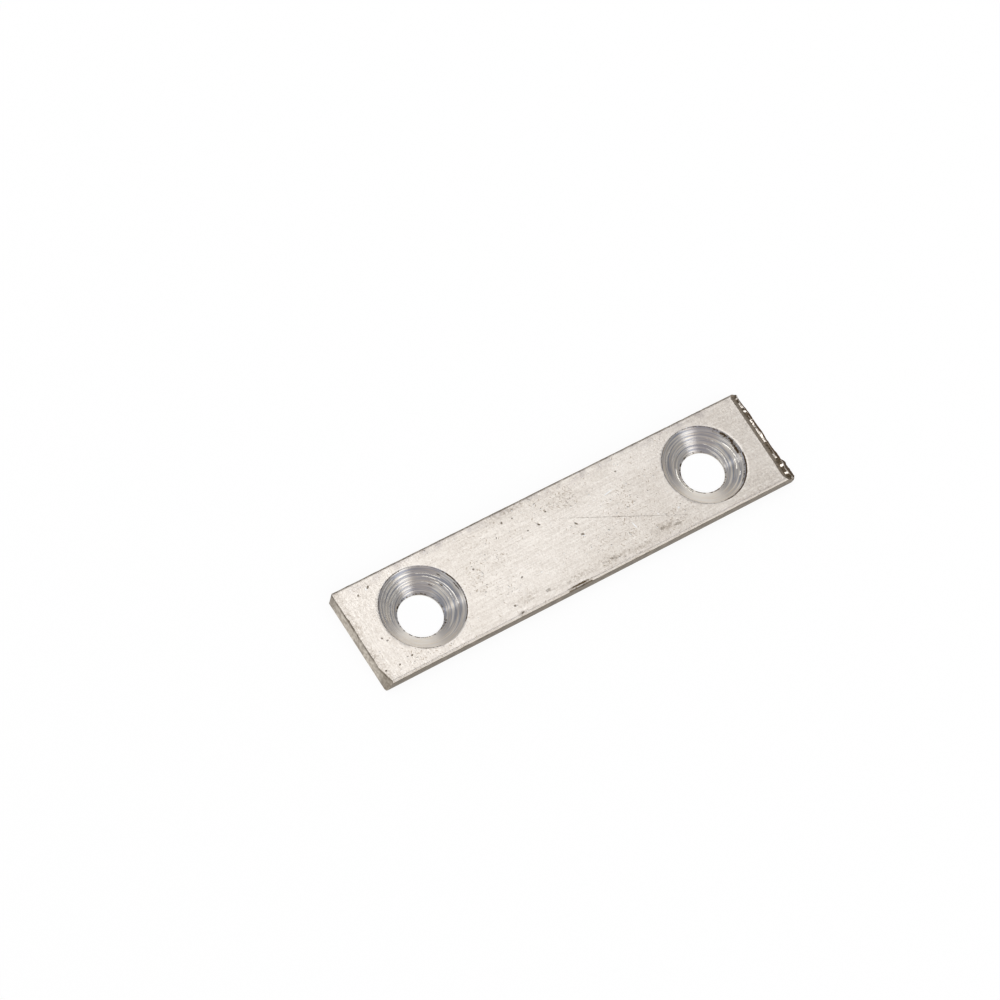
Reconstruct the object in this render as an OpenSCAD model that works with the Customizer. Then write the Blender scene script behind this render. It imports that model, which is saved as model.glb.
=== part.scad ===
// A short piece of aluminium flat bar with two countersunk screw holes.
// X runs along the bar, Y across it and Z up. The origin is at the middle of the underside.
// The left end is cut nearly square. The right end was cut part way down at a slope and then broken off.

/* [Bar] */
// Overall length, from the left end to the broken lip
bar_l = 90; // [87:1:160]
// Width of the flat bar
bar_w = 20; // [18:0.5:40]
// Thickness of the flat bar
bar_t = 3; // [2.8:0.1:6]
// Radius of the four long edges, as the bar was drawn
edge_r = 0.5; // [0.2:0.05:0.8]

/* [Screw holes] */
// Diameter of the drilled holes, for an M8 screw
hole_d = 8.4; // [7.8:0.1:12]
// Distance between the two hole centres
hole_pitch = 62; // [20:0.5:64]
// Distance from the left end to the first hole's centre
hole_from_end = 13.1; // [10:0.1:14.5]
// How far the holes lie off the bar's centre line, towards the front
hole_off = 0.4; // [0:0.1:1]

/* [Countersinks] */
// Diameter of the countersinks at the top face
sink_d = 16.2; // [12:0.1:16.8]
// Included angle of the countersinks
sink_angle = 110; // [106:1:120]
// Lean of the countersinking tool in the left hole, in degrees
sink_lean_left = 3.5; // [0:0.5:5]
// Direction in which the left countersink spreads, in degrees from +X
sink_turn_left = 53; // [0:1:360]
// Lean of the countersinking tool in the right hole, in degrees
sink_lean_right = 2.5; // [0:0.5:5]
// Direction in which the right countersink spreads, in degrees from +X
sink_turn_right = 107; // [0:1:360]

/* [Left end] */
// How far the cut leans back from the bottom edge to the top edge
end_lean = 0.25; // [0.05:0.05:0.8]
// Size of the facet on the front corner, along the bar
facet_l = 0.75; // [0.1:0.05:1]
// Width of the facet on the front corner, across the bar
facet_w = 7; // [2:0.5:9]
// Size of the small bevel on the back corner
corner_bevel = 0.5; // [0.1:0.05:1]

/* [Right end] */
// Length of the smooth slope, along the bar
slope_l = 1.5; // [0.8:0.1:2.5]
// Drop of the smooth slope
slope_drop = 1.5; // [0.8:0.1:2]
// Length of the torn strip beyond the slope
tear_l = 1.4; // [0.6:0.1:2]
// Height of the torn lip above the underside
lip_h = 0.6; // [0.2:0.05:0.8]
// Skew of the cut across the bar, in degrees
cut_skew = 1.5; // [0:0.1:3]
// Number of torn facets across the bar
tear_count = 16; // [8:1:24]
// Greatest step of the torn lip, in and out
tear_rough = 0.16; // [0:0.02:0.3]

/* [Edge damage] */
// Distance of the long nick from the bar's middle, to the left
nick_x = 4; // [0:0.5:20]
// Length of the nick in the front top edge
nick_l = 5.4; // [2:0.2:10]
// Depth of the nick
nick_depth = 0.2; // [0.05:0.05:0.4]
// Distance of the small dent from the bar's middle, to the left
dent_x = 16.4; // [10:0.2:24]

/* [Hidden] */
$fn = 96;
// Spare length by which a cutter stands clear of the bar
over = 4;
left_x = -bar_l / 2;
lip_x = bar_l / 2;
front_y = -bar_w / 2;
back_y = bar_w / 2;
// Where the smooth slope leaves the top face, and how high the torn strip takes over from it
top_end_x = lip_x - slope_l - tear_l;
break_z = bar_t - slope_drop;
// The underside tucks back from the lip by this angle from upright
tuck_angle = 35;
// Places of the drilled holes
hole_y = -hole_off;
hole_left_x = left_x + hole_from_end;
hole_right_x = hole_left_x + hole_pitch;
hole_r = hole_d / 2;
sink_r = sink_d / 2;
sink_half = sink_angle / 2;
// How far the cut's top edge runs out at the two corners
corner_flare = 0.1;
flare_w = 1;
// Rows of points across the break, with one row beyond each side of the bar
row_step = bar_w / tear_count;
row_last = tear_count + 2;
tear_seed = 27;
tear_in = rands(-1, 1, row_last + 1, tear_seed);
tear_up = rands(-1, 1, row_last + 1, tear_seed + 1);
// The lip bulges at the front corner, is hollow beside the bulge and runs nearly straight from there on
bulge_w = 0.22 * bar_w;
hollow_w = 0.3 * bar_w;
hollow_in = 0.3;
straight_in = 0.2;
nick_r = 2.2;
dent_r = 0.9;
dent_depth = 0.15;

// Outline of the drawn bar, seen along its length
module bar_section() {
  translate([front_y + edge_r, 0]) square([bar_w - 2 * edge_r, bar_t]);
  translate([front_y, edge_r]) square([bar_w, bar_t - 2 * edge_r]);
  for (y = [front_y + edge_r, back_y - edge_r])
    for (z = [edge_r, bar_t - edge_r])
      translate([y, z]) circle(r = edge_r);
}

// The bar before its ends are shaped, with spare length for the break
module bar_blank() {
  translate([left_x, 0, 0])
    rotate([90, 0, 90])
      linear_extrude(height = bar_l + over) bar_section();
}

// Drilled hole, straight through
module drill() {
  translate([0, 0, -over]) cylinder(h = bar_t + 2 * over, r = hole_r);
}

// Countersink of a tool that leans: its cone opens at the top face and meets the drilled wall.
// A level section of a leaning cone is wide_k times as wide as it is high above the tip,
// and its middle lies drift_k times that height to one side.
module leaning_sink(lean, turn) {
  wide_k = (tan(sink_half + lean) + tan(sink_half - lean)) / 2;
  drift_k = (tan(sink_half + lean) - tan(sink_half - lean)) / 2;
  tip_depth = sink_r / wide_k;
  land_up = hole_r / wide_k;
  rotate([0, 0, turn])
    translate([-land_up * drift_k, 0, bar_t - tip_depth])
      rotate([0, lean, 0])
        cylinder(h = tip_depth + over, r1 = 0, r2 = (tip_depth + over) * tan(sink_half));
}

module screw_hole(x, lean, turn) {
  translate([x, hole_y, 0]) {
    drill();
    leaning_sink(lean, turn);
  }
}

// The left cut leans back by end_lean over the bar's thickness
module left_cut() {
  translate([left_x, -bar_w, 0])
    rotate([0, atan2(end_lean, bar_t), 0])
      translate([-over, 0, -over]) cube([over, 2 * bar_w, bar_t + 2 * over]);
}

// A filed facet takes off the front corner, more at the top than at the bottom
module left_front_facet() {
  translate([left_x + facet_l + end_lean, front_y, bar_t])
    rotate([0, atan2(facet_l, bar_t), atan2(facet_l, facet_w)])
      translate([-over, -over, -2 * bar_t]) cube([over, over + 2 * facet_w, 4 * bar_t]);
}

module left_back_bevel() {
  translate([left_x + corner_bevel, back_y, 0])
    rotate([0, 0, -45])
      translate([-over, -over, -over]) cube([over, 2 * over, bar_t + 2 * over]);
}

function row_y(i) = front_y + (i - 1) * row_step;

// The cut's top edge: skewed across the bar, and flared where it meets the corners
function top_edge_x(y) =
  top_end_x + y * tan(cut_skew) + corner_flare * max(0, abs(y) - back_y + flare_w) / flare_w;

// How far the torn lip lies back from the bar's full length, at a distance past the bulge
function lip_in(past) = past <= 0 ? 0 : past < hollow_w ? hollow_in : straight_in;

function lip_short(i) =
  lip_in(row_y(i) - front_y - bulge_w) + tear_rough * (1 + tear_in[i]) / 2;

// Profile of the space beyond the broken end at row i, as points in X and Z, from above and round
function break_profile(i) =
  let (
    top_x = top_edge_x(row_y(i)),
    lip = lip_x - lip_short(i),
    crest_x = (top_x + slope_l + lip) / 2,
    crest_z = (break_z + lip_h) / 2 + tear_rough * tear_up[i]
  )
  [
    [top_x, bar_t + over],
    [top_x, bar_t],
    [top_x + slope_l, break_z],
    [crest_x, crest_z],
    [lip, lip_h],
    [lip - lip_h * tan(tuck_angle), 0],
    [lip - lip_h * tan(tuck_angle), -over],
    [lip_x + over, -over],
    [lip_x + over, bar_t + over]
  ];

// Everything beyond the cut and the torn strip, skinned over the rows of profiles
module broken_end() {
  rows = [for (i = [0 : row_last]) break_profile(i)];
  n = len(rows[0]);
  points = [for (i = [0 : row_last]) for (p = rows[i]) [p[0], row_y(i), p[1]]];
  sides = [
    for (i = [0 : row_last - 1]) for (k = [0 : n - 1])
      let (a = i * n + k, b = i * n + (k + 1) % n, c = a + n, d = b + n)
      each [[a, b, c], [b, d, c]]
  ];
  near_cap = [for (k = [0 : n - 1]) n - 1 - k];
  far_cap = [for (k = [0 : n - 1]) row_last * n + k];
  polyhedron(points, concat(sides, [near_cap, far_cap]));
}

// A long shallow nick in the front top edge, cut square across the rounded corner
module nick() {
  out = (edge_r + nick_r - nick_depth) / sqrt(2);
  translate([-nick_x, front_y + edge_r - out, bar_t - edge_r + out])
    rotate([0, 90, 0])
      translate([0, 0, -nick_l / 2]) cylinder(h = nick_l, r = nick_r);
}

module dent() {
  translate([-dent_x, front_y + edge_r / 2, bar_t + dent_r - dent_depth]) sphere(r = dent_r);
}

module plate() {
  color([0.84, 0.82, 0.79])
    difference() {
      bar_blank();
      screw_hole(hole_left_x, sink_lean_left, sink_turn_left);
      screw_hole(hole_right_x, sink_lean_right, sink_turn_right);
      left_cut();
      left_front_facet();
      left_back_bevel();
      broken_end();
      nick();
      dent();
    }
}

plate();
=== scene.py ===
"""Blender looks of a worn aluminium plate: a short drawn flat bar with two countersunk screw holes.

The bar was sawn square at its left end and broken off at its right end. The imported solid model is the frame.
The piece made here stands for its one node at the same sizes, and adds what a worn plate shows: tool rings in
the countersinks, torn grains at the break, bruised edges, and the drawn, sawn, turned and torn finishes.

The axes are the frame's: X along the bar from the sawn end to the broken end, Y across it, Z up out of the
countersunk face. Shapes are worked out in millimetres and turned to metres when a mesh is written.
"""

import logging
import math
from collections.abc import Callable
from dataclasses import dataclass
from enum import IntEnum
from functools import partial
from typing import Any

import bpy
import numpy as np
from mathutils import Matrix, Quaternion, Vector


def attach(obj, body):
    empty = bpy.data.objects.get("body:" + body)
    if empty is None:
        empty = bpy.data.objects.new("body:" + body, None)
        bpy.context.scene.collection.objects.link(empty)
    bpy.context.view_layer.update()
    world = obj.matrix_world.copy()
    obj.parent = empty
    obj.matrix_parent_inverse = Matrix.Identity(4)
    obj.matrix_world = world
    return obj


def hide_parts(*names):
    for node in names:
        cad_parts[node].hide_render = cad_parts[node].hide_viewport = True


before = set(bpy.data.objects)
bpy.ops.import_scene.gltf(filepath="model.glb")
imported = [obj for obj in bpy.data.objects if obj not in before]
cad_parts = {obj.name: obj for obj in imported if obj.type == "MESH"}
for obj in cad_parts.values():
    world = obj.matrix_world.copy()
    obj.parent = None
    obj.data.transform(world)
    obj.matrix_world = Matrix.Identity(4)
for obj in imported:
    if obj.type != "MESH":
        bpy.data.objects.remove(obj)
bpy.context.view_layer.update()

log = logging.getLogger("plate")
Array = np.ndarray
MM = 0.001
MM_PER_M = 1000.0
# Edges that turn by more than this many degrees stay sharp.
SHARP_DEG = 25.0
# Points nearer to each other than this are one point, and the rounding grid is shifted off the round sizes.
WELD_MM = 1e-5
WELD_SHIFT = 0.3137
# Added to the distance down the right cone, so that its pattern isn't the left one's.
NEXT_CONE = 9.0
CAD_NODE = "plate"
BODY = "root"


class Finish(IntEnum):
    """The finishes of the plate's faces, in the order of the mesh's material slots."""

    DRAWN = 0
    SAWN = 1
    SHEARED = 2
    TORN = 3
    TURNED = 4
    DRILLED = 5


def linear(hex_colour: str) -> tuple[float, float, float, float]:
    """Turn an sRGB hex colour into linear light with full alpha.

    Args:
        hex_colour: six hex digits, with or without a leading hash.

    Returns:
        Red, green, blue and alpha.
    """
    digits = hex_colour.lstrip("#")
    values = [int(digits[i : i + 2], 16) / 255 for i in (0, 2, 4)]
    lin = [v / 12.92 if v <= 0.04045 else ((v + 0.055) / 1.055) ** 2.4 for v in values]
    return (lin[0], lin[1], lin[2], 1.0)


def smoothstep(x: Array, low: float, high: float) -> Array:
    """Rise from 0 at low to 1 at high along 3t^2 - 2t^3, where t is the share of the way, held within 0 and 1."""
    t = np.clip((x - low) / (high - low), 0.0, 1.0)
    return t * t * (3.0 - 2.0 * t)


def bell(x: Array, middle: float, width: float) -> Array:
    """A bell-shaped hill of height 1: exp(-((x - middle) / width)^2)."""
    return np.exp(-(((x - middle) / width) ** 2))


@dataclass(frozen=True)
class Ragged:
    """A broken line of random heights from -1 to 1, joined by straight runs."""

    seed: int
    spacing: float  # mean distance between two corners of the line
    reach: float = 12.0  # the line runs from minus this to plus this

    def __call__(self, x: Array) -> Array:
        """Read the line at each x by straight interpolation between its random corners.

        Args:
            x: places along the line.

        Returns:
            The heights, from -1 to 1.
        """
        rng = np.random.default_rng(self.seed)
        count = int(2 * self.reach / self.spacing)
        places = np.sort(rng.uniform(-self.reach, self.reach, count))
        return np.interp(x, places, rng.uniform(-1.0, 1.0, count))


@dataclass(frozen=True)
class Patch:
    """A grid of points, rows by columns by 3 places in millimetres, and the finish of its faces."""

    points: Array
    finish: Finish
    flipped: bool = False  # True where the grid's own order would face into the metal

    def faces(self, first: int) -> Array:
        """Number the corners of the quads: each joins point (i, j) to (i+1, j), (i+1, j+1) and (i, j+1).

        Args:
            first: number of the grid's first point in the whole mesh.

        Returns:
            Quads x 4 point numbers.
        """
        rows, cols = self.points.shape[:2]
        n = first + np.arange(rows * cols).reshape(rows, cols)
        corners = np.stack([n[:-1, :-1], n[1:, :-1], n[1:, 1:], n[:-1, 1:]], axis=-1).reshape(-1, 4)
        return corners[:, ::-1] if self.flipped else corners


@dataclass(frozen=True, kw_only=True)
class Bar:
    """The drawn bar's section, which all of its parts share."""

    half_w: float = 10.0
    thickness: float = 3.0
    edge_r: float = 0.5  # radius of the long edges


@dataclass(frozen=True)
class SawnEnd(Bar):
    """The left end: a nearly square cut with a filed facet on the front corner and a bevel on the back one."""

    x: float = -45.0  # where the cut meets the underside
    lean: float = 0.25  # how far it leans back from the underside to the top face
    facet_l: float = 0.9  # length of the front facet along the bar
    facet_w: float = 3.6  # its width across the bar
    bevel: float = 0.5  # size of the back corner's bevel
    # Place, half width and length of each chip in the top edge
    chips: tuple[tuple[float, float, float], ...] = ((3.8, 0.55, 0.16), (2.2, 0.8, 0.12), (-4.6, 0.5, 0.08))

    def x_at(self, y: Array, z: Array) -> Array:
        """Place of the end's surface along the bar.

        It is the greatest of three planes: the leaning cut, the facet, which recedes with height and towards
        the front, and the bevel, which recedes towards the back. Small chips bite into its top edge.

        Args:
            y: places across the bar.
            z: heights above the underside.

        Returns:
            The surface's X at each place.
        """
        cut = self.x + z * (self.lean / self.thickness)
        facet = self.x + self.facet_l + self.lean - (y + self.half_w) * (self.facet_l / self.facet_w)
        facet = facet + (z - self.thickness) * 1.1 * self.facet_l / self.thickness
        surface = np.maximum(np.maximum(cut, facet), self.x + self.bevel + (y - self.half_w))
        near_top = smoothstep(z, self.thickness - 0.55, self.thickness)
        for chip_y, chip_w, chip_l in self.chips:
            surface = surface + near_top * chip_l * bell(y, chip_y, chip_w)
        return surface + np.abs(Ragged(11, 0.9)(y) * 0.03 * near_top)


@dataclass(frozen=True)
class BrokenEnd(Bar):
    """The right end: a smooth slope, a bright torn ledge, a ragged outer wall and an underside that tucks back."""

    bar_end: float = 45.0  # end of the bar, from which the slope is measured
    lip_x: float = 44.94  # furthest reach of the lip
    slope_l: float = 1.5  # length of the smooth slope along the bar; it falls at 45 degrees
    tear_l: float = 1.4  # length of the torn strip beyond it
    lip_h: float = 0.6  # least height of the lip above the underside
    skew: float = 1.5  # skew of the cut across the bar, in degrees
    flare: float = 0.42  # how far the top edge runs out at the two corners
    flare_w: float = 1.0  # width of that run-out
    bulge_w: float = 4.4  # width of the bulge at the front corner
    hollow_w: float = 6.0  # width of the hollow beside the bulge
    hollow_in: float = 0.18  # how far the lip lies back in the hollow
    straight_in: float = 0.03  # how far it lies back from there to the back corner
    corner_w: float = 1.1  # width over which the lip is rounded off at both corners
    ledge: float = 0.45  # width of the torn ledge
    tuck: float = 35.0  # angle by which the underside tucks back from upright, in degrees
    grain_h: float = 0.06  # height of the torn grains
    # Height and seed of each row of grains
    grains: tuple[tuple[float, int], ...] = ((1.3, 61), (1.1, 67), (0.85, 71), (0.6, 73), (0.3, 79))

    def top_edge(self, y: Array) -> Array:
        """Where the slope leaves the top face: skewed, flared at the corners and with a shallow bay at the front.

        Args:
            y: places across the bar.

        Returns:
            The edge's X at each place.
        """
        middle = self.bar_end - self.slope_l - self.tear_l
        run = np.maximum(0.0, np.abs(y) - self.half_w + self.flare_w) / self.flare_w
        bay = 0.14 * bell(y, -7.9, 1.1)
        return middle + y * math.tan(math.radians(self.skew)) + self.flare * run - bay + 0.04 * Ragged(31, 0.6)(y)

    def bulge(self, y: Array) -> Array:
        """Share of the front corner's bulge at y: 1 inside it, 0 beyond it."""
        return 1.0 - smoothstep(y + self.half_w - self.bulge_w, -0.5, 0.6)

    def lip(self, y: Array) -> Array:
        """Where the lip lies: at full reach in the bulge, back in the hollow, and rounded off at both corners.

        Args:
            y: places across the bar.

        Returns:
            The lip's X at each place.
        """
        past = y + self.half_w - self.bulge_w - self.hollow_w
        back = self.hollow_in - (self.hollow_in - self.straight_in) * smoothstep(past, -0.5, 0.5)
        corner = np.clip((np.abs(y) - self.half_w + self.corner_w) / self.corner_w, 0.0, 1.0) ** 2
        corner = corner * np.where(y < 0.0, 0.7, 0.25)
        return self.lip_x - back * (1.0 - self.bulge(y)) - corner - 0.045 * (1.0 + Ragged(43, 0.6)(y))

    def slope_foot(self, y: Array) -> Array:
        """Height at which the torn ledge takes over from the smooth slope."""
        return self.thickness - self.slope_l + 0.08 * Ragged(41, 0.8)(y)

    def foot_level(self, y: Array, z: Array) -> Array:
        """Move rows of heights with the slope's foot: fully near the foot, not at all at the sides and edges.

        Args:
            y: places across the bar.
            z: heights above the underside.

        Returns:
            The moved heights.
        """
        near = np.clip(1.0 - np.abs(z - self.thickness + self.slope_l) / 0.85, 0.0, 1.0)
        inside = 1.0 - smoothstep(np.abs(y), self.half_w - 0.8, self.half_w - 0.1)
        return z + (self.slope_foot(y) - self.thickness + self.slope_l) * near * inside

    def x_at(self, y: Array, z: Array) -> Array:
        """Place of the end's surface along the bar.

        Down each line across the bar the profile runs straight between five points: the top edge, the foot of
        the 45 degree slope, the outer edge of a nearly level ledge, the lip, and the tucked-back bottom edge.
        Each point but the first is moved by its own ragged line, and grains add smaller steps to the torn part.

        Args:
            y: places across the bar.
            z: heights above the underside.

        Returns:
            The surface's X at each place.
        """
        bulge, top, z1, lip = self.bulge(y), self.top_edge(y), self.slope_foot(y), self.lip(y)
        x1 = top + self.thickness - z1
        z2 = z1 - 0.04 + 0.02 * Ragged(47, 0.45)(y)
        x2 = np.minimum(x1 + self.ledge + 0.16 * Ragged(53, 0.45)(y) + 0.2 * bulge, lip - 0.1)
        z3 = self.lip_h + 0.2 + 0.25 * bulge + 0.08 * Ragged(59, 0.9)(y)
        slope = top + self.thickness - z
        ledge = x1 + (z1 - z) / (z1 - z2) * (x2 - x1)
        outer = x2 + (z2 - z) / (z2 - z3) * (lip - x2)
        below = lip - (z3 - z) * math.tan(math.radians(self.tuck))
        surface = np.where(z >= z1, slope, np.where(z >= z2, ledge, np.where(z >= z3, outer, below)))
        grain = np.zeros_like(surface)
        for level, seed in self.grains:
            grain = grain + np.clip(1.0 - np.abs(z - level) / 0.25, 0.0, 1.0) * Ragged(seed, 0.4)(y)
        return np.minimum(surface + self.grain_h * grain * smoothstep(z1 - z, 0.0, 0.1), self.lip_x)


@dataclass(frozen=True)
class Arc:
    """A mark that runs round a countersink: stuck dirt, a thin dark line just inside the rim, or a groove with a
    painted highlight on its lower flank.
    """

    hole: int  # number of the hole, 0 for the left one
    line: tuple[tuple[float, float], ...]  # pairs of rising azimuth in degrees and distance down the cone
    width: float  # half its width
    strength: float  # its share at the middle of its width
    ragged: float = 0.4  # how far the share comes and goes along it, from 0 to 1
    depth: float = 0.0  # depth of the groove whose lower flank it lies on

    def _along(self, azimuth: Array, down: Array) -> tuple[Array, Array]:
        """How much of the arc there is in each direction, and the distance past its line in half widths.

        Args:
            azimuth: directions round the drill's axis, in radians.
            down: distances down the cone from the rim.

        Returns:
            The share along the arc and the distance across it.
        """
        turns, downs = np.array(self.line).T
        middle = (turns[0] + turns[-1]) / 2
        turn = (np.degrees(azimuth) - middle + 180.0) % 360.0 - 180.0 + middle
        ends = smoothstep(turn, turns[0] - 4.0, turns[0]) * (1.0 - smoothstep(turn, turns[-1], turns[-1] + 4.0))
        comes = 1.0 - self.ragged * (0.5 + 0.5 * Ragged(int(turns[0]) + 300, 3.0, 400.0)(turn))
        return ends * comes, (down - np.interp(turn, turns, downs)) / self.width

    def lift(self, azimuth: Array, down: Array) -> Array:
        """Height over the true cone: it drops by the depth over half a width, then rises evenly over two widths."""
        amount, away = self._along(azimuth, down)
        return -self.depth * amount * np.interp(away, [-1.5, -1.0, 1.0], [0.0, 1.0, 0.0])

    def share(self, azimuth: Array, down: Array) -> Array:
        """Share from 0 to 1: strength times exp(-(d / width)^2), d past the line; it runs out over four degrees."""
        amount, away = self._along(azimuth, down)
        return self.strength * amount * np.exp(-(away**2))


# Bright arcs in the countersinks: grooves in the geometry, each with a painted highlight along it.
BRIGHT_ARCS = (
    Arc(0, ((33, 1.37), (44, 1.42), (52, 1.35), (65, 1.41)), 0.1, 0.9, 0.4, 0.07),
    Arc(0, ((-14, 1.71), (-7, 1.75), (6, 1.8), (18, 1.86), (32, 1.93), (43, 1.92), (57, 1.91)), 0.12, 1.0, 0.3, 0.09),
    Arc(0, ((-2, 2.36), (10, 2.28), (21, 2.25), (33, 2.35), (43, 2.44)), 0.1, 0.9, 0.5, 0.07),
    Arc(0, ((-7, 3.08), (3, 3.1), (18, 3.13), (33, 2.97), (57, 2.92)), 0.1, 0.8, 0.5, 0.06),
    Arc(0, ((16, 0.3), (20, 0.29), (34, 0.32)), 0.09, 0.9, 0.5, 0.05),
    Arc(0, ((104, 0.71), (136, 0.71), (165, 0.75)), 0.13, 1.05, 0.5, 0.05),
    Arc(0, ((104, 1.4), (136, 1.4), (165, 1.42)), 0.13, 1.05, 0.5, 0.05),
    Arc(0, ((104, 2.09), (132, 2.09), (165, 2.1)), 0.13, 1.05, 0.5, 0.05),
    Arc(0, ((104, 2.73), (129, 2.73), (165, 2.75)), 0.13, 1.05, 0.5, 0.05),
    Arc(0, ((104, 3.34), (124, 3.34), (165, 3.3)), 0.13, 1.05, 0.5, 0.05),
    Arc(1, ((33, 2.5), (43, 2.31), (52, 2.24)), 0.22, 0.5, 0.6, 0.08),
    Arc(1, ((-4, 3.67), (6, 3.55), (22, 3.48), (39, 3.52), (56, 3.36)), 0.11, 0.9, 0.4, 0.08),
    Arc(1, ((-14, 4.42), (-2, 4.43), (13, 4.42), (31, 4.22), (48, 4.12)), 0.09, 0.7, 0.4, 0.05),
    Arc(1, ((5, 1.13), (14, 1.04), (21, 1.1), (28, 1.13)), 0.13, 0.6, 0.6, 0.07),
    Arc(1, ((-16, 1.45), (-9, 1.51), (0, 1.65), (7, 1.64), (20, 1.78), (27, 1.82)), 0.13, 1.3, 0.7, 0.12),
    Arc(1, ((-27, 2.06), (-18, 1.99), (-9, 1.99)), 0.1, 1.1, 0.6, 0.09),
    Arc(1, ((-41, 1.41), (-34, 1.44)), 0.1, 1.1, 0.5, 0.09),
    Arc(1, ((150, 4.0), (171, 3.83), (186, 3.84), (200, 3.75), (210, 3.66)), 0.17, 1.8, 0.15, 0.22),
    Arc(1, ((124, 1.6), (135, 1.3), (148, 1.28)), 0.09, 0.9, 0.5, 0.06),
    Arc(1, ((105, 3.18), (122, 2.96), (136, 2.9)), 0.1, 0.7, 0.5, 0.05),
)

# Dark arcs in the countersinks: stuck dirt, and thin dark lines just inside the rims, 0.04 to 0.16 mm down the cone.
DARK_ARCS = (
    Arc(0, ((88, 0.04), (160, 0.04), (262, 0.04)), 0.12, 0.9, 0.6),
    Arc(0, ((-66, 4.2), (-52, 4.1), (-38, 4.2)), 0.3, 0.65, 0.6),
    Arc(0, ((-45, 0.1), (10, 0.1), (34, 0.1)), 0.14, 0.95, 0.7),
    Arc(0, ((4, 0.5), (8, 0.54), (14, 0.56)), 0.13, 0.7, 0.6),
    Arc(0, ((25, 2.33), (29, 2.33)), 0.1, 0.7, 0.0),
    Arc(0, ((35, 0.93), (38, 0.93)), 0.1, 0.7, 0.0),
    Arc(0, ((41, 3.27), (44, 3.27)), 0.1, 0.7, 0.0),
    Arc(1, ((-5, 0.49), (0, 0.84), (6, 0.78), (15, 0.54), (21, 0.38), (25, 0.43), (34, 0.35)), 0.5, 0.62, 0.35),
    Arc(1, ((-12, 0.5), (6, 0.6), (21, 0.42), (46, 0.2)), 0.6, 0.4, 0.3),
    Arc(1, ((-2, 0.84), (6, 0.78)), 0.25, 0.9, 0.0),
    Arc(1, ((-52, 0.6), (-36, 0.6), (-23, 0.5), (-10, 0.7)), 0.24, 0.55, 0.8),
    Arc(1, ((-95, 0.1), (-40, 0.14), (-8, 0.16)), 0.18, 0.95, 0.4),
    Arc(1, ((95, 0.04), (150, 0.04), (262, 0.04)), 0.09, 0.7, 0.6),
    Arc(1, ((40, 0.1), (90, 0.1)), 0.12, 0.6, 0.6),
    Arc(0, ((36, 0.06), (84, 0.06)), 0.09, 0.6, 0.6),
    Arc(1, ((150, 4.27), (171, 4.12), (186, 4.06), (200, 3.95), (212, 3.86)), 0.07, 0.9, 0.5),
)


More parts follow.
